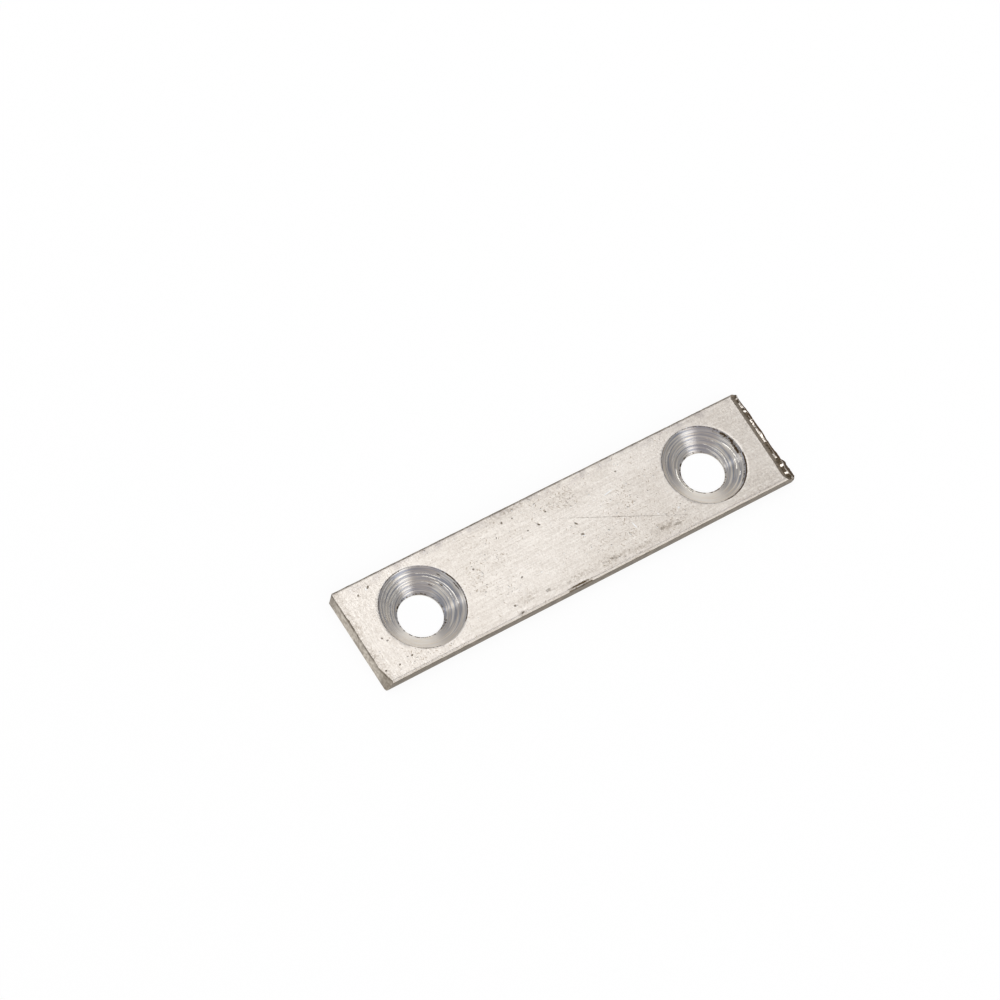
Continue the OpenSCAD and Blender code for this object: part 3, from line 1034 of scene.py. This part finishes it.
@dataclass(frozen=True)
class TornAluminium:
    """Aluminium torn apart, coloured by how the tear faces: painted glints where it lies level, painted shade where it
    is steep.
    """

    bright: str = "#FFF6EA"  # painted glints on the level grains
    dark: str = "#77685A"  # painted shade on the steep parts between them
    grazed: str = "#8A7B68"  # tint of their reflection: painted shade that dulls it at a grazing look

    def material(self) -> bpy.types.Material:
        """Build the material.

        Returns:
            The material.
        """
        material, node = new_material("torn_aluminium_glints_and_shade")
        mm = node("VectorMath", node("TexCoord", out="Object"), MM_PER_M, operation="SCALE")
        x, _, z = node("SeparateXYZ", mm).node.outputs
        # Torn grains are 0.3 to 0.6 mm across.
        grains = node("TexNoise", mm, 1.9, 3.0, 0.7)
        # The colour follows the surface: a painted glint where it faces up above 1.2 to 1.4 mm, painted shade where it
        # is steep or lower down.
        up = node("Attribute", attribute_name="up", out="Fac")
        ledge = node("Math", up, node("MapRange", z, 1.4, 1.2), operation="SUBTRACT")
        lit = node("Math", grains, 1.3, ledge, operation="MULTIPLY_ADD")
        share = node("MapRange", lit, 1.37, 1.45)
        # Each grain's upper face leans back towards the bar by about one in six, like a scale torn upwards.
        lean = node("Math", x, 3.4, grains, operation="MULTIPLY_ADD")
        inputs = {
            "Base Color": node("Mix", share, self.dark, self.bright, data_type="RGBA"),
            "Metallic": 1.0,
            "Roughness": node("MapRange", share, 0.0, 1.0, 0.5, 0.2),
            "Specular Tint": node("Mix", share, self.grazed, "#FFFFFF", data_type="RGBA"),
            "Normal": node("Bump", {"Height": lean, "Strength": 1.0, "Distance": 0.05 * MM}),
        }
        node("OutputMaterial", node("BsdfPrincipled", inputs))
        return material


@dataclass(frozen=True)
class TurnedAluminium:
    """Aluminium cut by a chattering countersink: clean metal with circular tool lines, painted a cool grey as shade in
    their hollows.

    The lines spread a reflection down the cone and keep it narrow round it, so lamps show as bright fans.
    """

    light: str = "#F7F2EA"  # crests of the tool lines, lighter than the painted shade of the hollows
    cool: str = "#ABAEB8"  # the hollows between them: painted shade, cool blue-grey
    ridge: str = "#EBDDC6"  # the finest lines
    tarnish: str = "#A59C9C"  # the side that the tool rubbed
    bare_and_highlight: str = "#FFFAF0"  # bright arcs: painted highlights
    grime_and_shade: str = "#5A4B39"  # stuck dirt, and thin dark lines just inside the rims

    def material(self) -> bpy.types.Material:
        """Build the material.

        Returns:
            The material.
        """
        material, node = new_material("turned_aluminium_countersink_shaded")
        turned = node("Attribute", attribute_name="turned", out="Vector")
        cos_turn, sin_turn, _ = node("SeparateXYZ", turned).node.outputs
        # Tool lines: 0.1 to 0.4 mm apart down the cone, running about a third of the way round.
        rings = node("TexNoise", node("Mapping", {"Vector": turned, "Scale": (0.6, 0.6, 3.0)}), 1.0, 3.0, 0.6)
        fine = node("TexNoise", node("Mapping", {"Vector": turned, "Scale": (2.0, 2.0, 11.0)}), 1.0, 2.0)
        # The front right side came out calm, with hardly a line, and is painted pale all over, without the hollows'
        # painted shade.
        calm = node("VectorMath", turned, (-0.574, -0.819, 0.0), operation="DOT_PRODUCT")
        calm = node("MapRange", calm, 0.2, 0.85, 0.0, 0.9)
        share = node("Math", node("MapRange", rings, 0.42, 0.6), calm, operation="MAXIMUM")
        # The side that the tool rubbed, towards the back of the bar, is a little tarnished.
        rubbed = node("VectorMath", turned, (0.545, 0.839, 0.0), operation="DOT_PRODUCT")
        mm = node("VectorMath", node("TexCoord", out="Object"), MM_PER_M, operation="SCALE")
        crumbs = node("TexNoise", mm, 3.0, 3.0)
        arc_highlight, dirt_and_shadow = (node("Attribute", attribute_name=name, out="Fac") for name in ("bare_and_highlight", "grime_and_shade"))
        shining = node("MapRange", node("Math", crumbs, arc_highlight, operation="ADD"), 0.72, 1.15)
        # The tool lines' hollows take the painted shade, their crests the lighter colour.
        colour = node("Mix", share, self.cool, self.light, data_type="RGBA")
        for amount, layer in (
            (node("MapRange", fine, 0.52, 0.7), self.ridge),
            (node("MapRange", rubbed, 0.9, 0.97, 0.0, 0.5), self.tarnish),
            (shining, self.bare_and_highlight),
            (node("MapRange", node("Math", crumbs, dirt_and_shadow, operation="ADD"), 0.72, 1.06), self.grime_and_shade),
        ):
            colour = node("Mix", amount, colour, layer, data_type="RGBA")
        height = node("Math", fine, 0.3, rings, operation="MULTIPLY_ADD")
        rugged = node("MapRange", calm, 0.0, 1.0, 0.7, 0.1)
        inputs = {
            "Base Color": colour,
            "Metallic": 1.0,
            "Roughness": node("MapRange", shining, 0.0, 1.0, 0.28, 0.26),
            "Anisotropic": 0.7,
            "Anisotropic Rotation": 0.25,
            "Tangent": node("CombineXYZ", node("Math", sin_turn, -1.0, operation="MULTIPLY"), cos_turn),
            "Normal": node("Bump", {"Height": height, "Strength": rugged, "Distance": 0.036 * MM}),
        }
        node("OutputMaterial", node("BsdfPrincipled", inputs))
        return material


@dataclass(frozen=True)
class WornPlate:
    """The plate as a whole: its mesh, what clings to it and its finishes."""

    mesh: PlateMesh
    # Soft smudges on the top face, the three broad ones towards the broken end at x 21, 38 and 41 being painted shade
    # where the light falls off: place, half length, half width and strength of each
    smudges_and_shade: tuple[tuple[float, float, float, float, float], ...] = (
        (16.5, -7.4, 3.2, 1.0, 0.75), (-3.5, -8.2, 5.5, 1.0, 0.5), (4.0, -8.2, 4.0, 0.9, 0.6),
        (10.0, -8.6, 6.0, 0.6, 0.5), (-8.5, 8.9, 4.5, 0.8, 0.6), (-14.0, -7.6, 3.0, 1.2, 0.4),
        (5.0, 6.0, 5.0, 1.6, 0.2), (38.0, -8.0, 9.0, 3.5, 0.36), (41.0, 3.0, 9.0, 8.0, 0.26),
        (21.0, -7.5, 6.0, 2.5, 0.25),
    )

    def nearest_hole(self, points: Array) -> tuple[Array, Array, Array, Array]:
        """Place of each point relative to the nearer hole.

        Args:
            points: points x 3 places in millimetres.

        Returns:
            The azimuth round that hole, the distance down its cone from the rim, the hole's number, and the
            distance from its drilled wall.
        """
        azimuths, downs, walls = [], [], []
        for hole in self.mesh.holes:
            dx, dy = points[:, 0] - hole.x, points[:, 1] - hole.y
            azimuths.append(np.arctan2(dy, dx))
            downs.append((hole.rim(azimuths[-1]) - np.hypot(dx, dy)) / math.sin(math.radians(hole.half_angle)))
            walls.append(np.abs(np.hypot(dx, dy) - hole.hole_r))
        which = (points[:, 0] > 0).astype(int)
        pick = (which, np.arange(len(points)))
        return np.array(azimuths)[pick], np.array(downs)[pick], which, np.array(walls)[pick]

    def grime_and_shade(self, points: Array, azimuth: Array, down: Array, which: Array, wall: Array) -> Array:
        """Share of old grime and painted shade at each point.

        Grime sits in arcs in the countersinks, in beads round the openings, in soft smudges on the top face and in two
        spots low on the sawn end. Painted shade darkens the top face towards the broken end and the sawn end's two
        corners. Thin dark lines run just inside the rims, and the sawn end is darker under its top edge.

        Args:
            points: points x 3 places in millimetres.
            azimuth: azimuths round the nearer hole.
            down: distances down its cone.
            which: its number.
            wall: distances from its drilled wall.

        Returns:
            The share at each point, from 0 to 1.
        """
        x, y, z = points.T
        total = self.arcs(DARK_ARCS, points, azimuth, down, which)
        # Beads on the edge of each opening, heaviest towards 200 degrees, fading out towards the underside
        opening = (down > 0.0) & (z < 0.8) & (z > 0.01)
        beads = np.clip(0.55 + 0.75 * Ragged(17, 2.5, 400.0)(np.degrees(azimuth) + 150.0 * which), 0.0, 1.0)
        lower = 0.75 + 0.25 * np.cos(azimuth - math.radians(200.0))
        upper = np.clip(z / 0.4, 0.0, 1.0)
        total = np.maximum(total, 0.95 * bell(wall, 0.0, 0.3) * opening * beads * lower * upper)
        # Smudges and painted shade, on the top face only
        for mid_x, mid_y, long, wide, strength in self.smudges_and_shade:
            total = np.maximum(total, strength * bell(x, mid_x, long) * bell(y, mid_y, wide) * (z > 2.9))
        # On the sawn end: darker under its top edge, painted shade at its two corners, and grime in two spots low down
        # in the middle
        at_end = x < -43.5
        comes = np.clip(0.7 + 0.5 * Ragged(23, 0.5)(y), 0.0, 1.0)
        total = np.maximum(total, bell(z, 2.75, 0.32) * at_end * comes)
        corner = smoothstep(-y, 6.5, 8.5) + smoothstep(y, 6.0, 9.5)
        total = np.maximum(total, 0.5 * corner * at_end * (0.5 + 0.5 * comes) * (z < 2.95))
        spots = bell(z, 0.45, 0.3) * at_end * (np.abs(y + 0.5) < 1.6)
        return np.clip(np.maximum(total, 0.6 * spots * comes), 0.0, 1.0)

    @staticmethod
    def arcs(arcs: tuple[Arc, ...], points: Array, azimuth: Array, down: Array, which: Array) -> Array:
        """Greatest share at each point of all the arcs round its nearer hole, below the top face only.

        Args:
            arcs: the arcs.
            points: points x 3 places in millimetres.
            azimuth: azimuths round the nearer hole.
            down: distances down its cone.
            which: its number.

        Returns:
            The share at each point, from 0 to 1.
        """
        inside = (down > -0.05) & (points[:, 2] > 0.01)
        total = np.zeros(len(points))
        for arc in arcs:
            total = np.maximum(total, arc.share(azimuth, down) * (which == arc.hole) * inside)
        return np.clip(total, 0.0, 1.0)

    @staticmethod
    def facing_up(points: Array, quads: Array) -> Array:
        """Upward share of the surface's normal at each point: the mean over its quads of their normals' Z.

        Args:
            points: points x 3 places.
            quads: quads x 4 point numbers.

        Returns:
            The share at each point, from -1 to 1.
        """
        normal = np.cross(points[quads[:, 2]] - points[quads[:, 0]], points[quads[:, 3]] - points[quads[:, 1]])
        up = normal[:, 2] / np.maximum(np.linalg.norm(normal, axis=1), 1e-12)
        corners = quads.reshape(-1)
        total = np.bincount(corners, weights=np.repeat(up, 4), minlength=len(points))
        return total / np.maximum(np.bincount(corners, minlength=len(points)), 1)

    def make(self) -> bpy.types.Object:
        """Build the plate, give it its finishes and put it on the frame in place of the solid.

        Returns:
            The finished object.
        """
        points, quads, finish = self.mesh.build()
        plate = make_object("worn_plate", points, quads, finish)
        azimuth, down, which, wall = self.nearest_hole(points)
        turned = np.stack([np.cos(azimuth), np.sin(azimuth), down + NEXT_CONE * which], axis=-1)
        set_attribute(plate, "turned", turned)
        set_attribute(plate, "grime_and_shade", self.grime_and_shade(points, azimuth, down, which, wall))
        set_attribute(plate, "bare_and_highlight", self.arcs(BRIGHT_ARCS, points, azimuth, down, which))
        set_attribute(plate, "up", self.facing_up(points, quads))
        dressing = {
            Finish.DRAWN: DrawnAluminium(),
            # The sawn end's greys are partly the dull sawn metal and partly painted shade.
            Finish.SAWN: CutAluminium("sawn_aluminium", "#D2CABD", "#A1978A", 0.42, (3.0, 1.6, 1.6)),
            # The sheared slope's dark browns are painted shade: the slope faces away from the lamps.
            Finish.SHEARED: CutAluminium("sheared_aluminium_shaded", "#8E7F6C", "#584D3D", 0.45, (0.8, 2.6, 1.2)),
            Finish.TORN: TornAluminium(),
            Finish.TURNED: TurnedAluminium(),
            Finish.DRILLED: CutAluminium("drilled_aluminium", "#CFC8BD", "#8A8070", 0.35, (1.5, 1.5, 6.0)),
        }
        for key in sorted(dressing):
            plate.data.materials.append(dressing[key].material())
        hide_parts(CAD_NODE)
        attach(plate, BODY)
        log.info("worn plate: %d points, %d quads", len(points), len(quads))
        return plate


@dataclass(frozen=True)
class Softbox:
    """A square studio lamp that faces the plate."""

    name: str
    towards: tuple[float, float, float]  # direction from the plate to the lamp, in the frame's axes
    distance: float  # metres from the plate
    size: tuple[float, float]  # width and height in metres
    level: float  # how bright its face looks, where 1 is white

    def make(self) -> bpy.types.Object:
        """Hang the lamp. Its power is pi times its area times its level, as a flat diffuse panel's is.

        Returns:
            The lamp's object.
        """
        lamp = bpy.data.lights.new(self.name, "AREA")
        lamp.shape = "RECTANGLE"
        lamp.size, lamp.size_y = self.size
        lamp.energy = math.pi * self.size[0] * self.size[1] * self.level
        lamp.use_shadow = True
        obj = bpy.data.objects.new(self.name, lamp)
        away = Vector(self.towards).normalized()
        obj.location = away * self.distance
        obj.rotation_euler = away.to_track_quat("Z", "Y").to_euler()
        bpy.context.scene.collection.objects.link(obj)
        log.info("lamp: %s", self.name)
        return obj


@dataclass(frozen=True)
class Studio:
    """The plain pale studio: floor, surroundings, lamps and camera."""

    floor_r: float = 3.0  # half the floor's side in metres
    floor_z: float = -0.02  # height of the floor in millimetres
    floor_white: float = 0.86  # share of plain white that the floor shows to the camera and in reflections
    white: float = 1.06  # strength of that white
    lamps: tuple[Softbox, ...] = (
        Softbox("lamp_overhead", (0.173, 0.314, 0.933), 0.85, (0.56, 0.52), 1.11),
        Softbox("lamp_front", (0.29, -0.735, 0.61), 0.9, (0.38, 0.36), 1.2),
        Softbox("lamp_back", (-0.62, 0.55, 0.57), 0.9, (0.12, 0.5), 0.9),
    )
    # The camera's direction in degrees, where it looks, in millimetres, how far off it stands, in metres, and
    # its focal length in pixels, with a view of 1000 pixels
    yaw: float = 49.430
    elevation: float = 60.847
    roll: float = -19.139
    target: tuple[float, float, float] = (-6.578, 12.622, 0.0)
    distance: float = 0.58512
    focal: float = 3216.4
    view: float = 1000.0

    def floor(self) -> bpy.types.Object:
        """Lay a square pale floor just under the plate: a level grid of points, even both ways.

        Returns:
            The floor.
        """
        reach = np.linspace(-self.floor_r, self.floor_r, 5) / MM
        x, y = np.meshgrid(reach, reach, indexing="ij")
        grid = Patch(np.stack([x, y, np.full_like(x, self.floor_z)], axis=-1), Finish.DRAWN)
        quads = grid.faces(0)
        obj = make_object("floor", grid.points.reshape(-1, 3), quads, np.zeros(len(quads)))
        material, node = new_material("white_studio_board")
        rays = node("LightPath").node.outputs
        seen = node("Math", rays["Is Camera Ray"], rays["Is Glossy Ray"], operation="MAXIMUM")
        seen = node("Math", seen, rays["Is Transmission Ray"], operation="MAXIMUM")
        share = node("Math", seen, self.floor_white, operation="MULTIPLY")
        white = node("Emission", "#FFFFFF", self.white)
        node("OutputMaterial", node("MixShader", share, node("BsdfDiffuse", "#FCFCFC"), white))
        obj.data.materials.append(material)
        log.info("floor: pale board")
        return obj

    def surroundings(self) -> None:
        """Light the room: a plain grey, palest in front to the left, and warmer near the floor behind the plate."""
        world = bpy.data.worlds.new("studio_room")
        bpy.context.scene.world = world
        world.use_nodes = True
        world.node_tree.nodes.clear()
        node = partial(add_node, world.node_tree)
        ray = node("TexCoord", out="Generated")
        up = node("SeparateXYZ", ray).node.outputs[2]
        low = node("MapRange", up, 0.45, 0.0)
        side = node("VectorMath", ray, (-0.15, 0.97, 0.0), operation="DOT_PRODUCT")
        glow = node("MapRange", side, -0.2, 1.0, 0.14, 0.62)
        front = node("VectorMath", ray, (-0.45, -0.7, 0.55), operation="DOT_PRODUCT")
        wall = node("MapRange", front, 0.2, 0.95, 0.4, 0.66)
        level = node("Math", low, glow, wall, operation="MULTIPLY_ADD")
        tint = node("Mix", low, "#F3F3F6", "#FFF6EA", data_type="RGBA")
        node("OutputWorld", node("Background", tint, level))
        log.info("surroundings: plain room")

    def camera(self) -> bpy.types.Object:
        """Stand the camera where the photo was taken from: its place and direction match the plate's edges and holes.

        Returns:
            The camera.
        """
        yaw, elevation, roll = (math.radians(angle) for angle in (self.yaw, self.elevation, self.roll))
        level = math.cos(elevation)
        ahead = Vector((math.sin(yaw) * level, math.cos(yaw) * level, -math.sin(elevation)))
        data = bpy.data.cameras.new("camera")
        data.sensor_fit = "HORIZONTAL"
        data.sensor_width = 36.0
        data.lens = self.focal / self.view * data.sensor_width
        data.clip_start, data.clip_end = 0.01, 10.0
        obj = bpy.data.objects.new("camera", data)
        obj.rotation_mode = "QUATERNION"
        turn = ahead.to_track_quat("-Z", "Y") @ Quaternion((0.0, 0.0, 1.0), -roll)
        place = Vector(self.target) * MM - ahead * self.distance
        obj.matrix_world = Matrix.Translation(place) @ turn.to_matrix().to_4x4()
        bpy.context.scene.collection.objects.link(obj)
        bpy.context.scene.camera = obj
        log.info("camera: %.0f mm lens", data.lens)
        return obj


def main() -> None:
    """Build the plate, then the studio round it, and report each piece."""
    logging.basicConfig(level=logging.INFO, format="%(name)s: %(message)s")
    # The rings that the tool left: distance down the cone and depth of each
    left_rings = ((0.32, 0.012), (0.8, 0.015), (1.4, 0.02), (2.1, 0.02), (2.7, 0.018), (3.35, 0.015), (4.0, 0.012))
    right_rings = ((0.4, 0.01), (1.1, 0.015), (1.7, 0.018), (2.4, 0.015), (3.0, 0.015), (3.6, 0.018), (4.2, 0.012))
    holes = (
        ScrewHole(0, -31.9, 3.5, 53.0, left_rings, 3),
        ScrewHole(1, 30.1, 2.5, 107.0, right_rings, 4),
    )
    bruises = (Bruise(-16.4, -9.75, 0.5, 0.35, 25.0, 0.16), Bruise(-4.2, 4.0, 0.35, 0.25, -60.0, 0.05))
    WornPlate(PlateMesh(SawnEnd(), BrokenEnd(), holes, bruises)).make()
    studio = Studio()
    studio.floor()
    studio.surroundings()
    for lamp in studio.lamps:
        lamp.make()
    studio.camera()
    bpy.context.scene.view_settings.view_transform = "Standard"


if __name__ == "__main__":
    main()
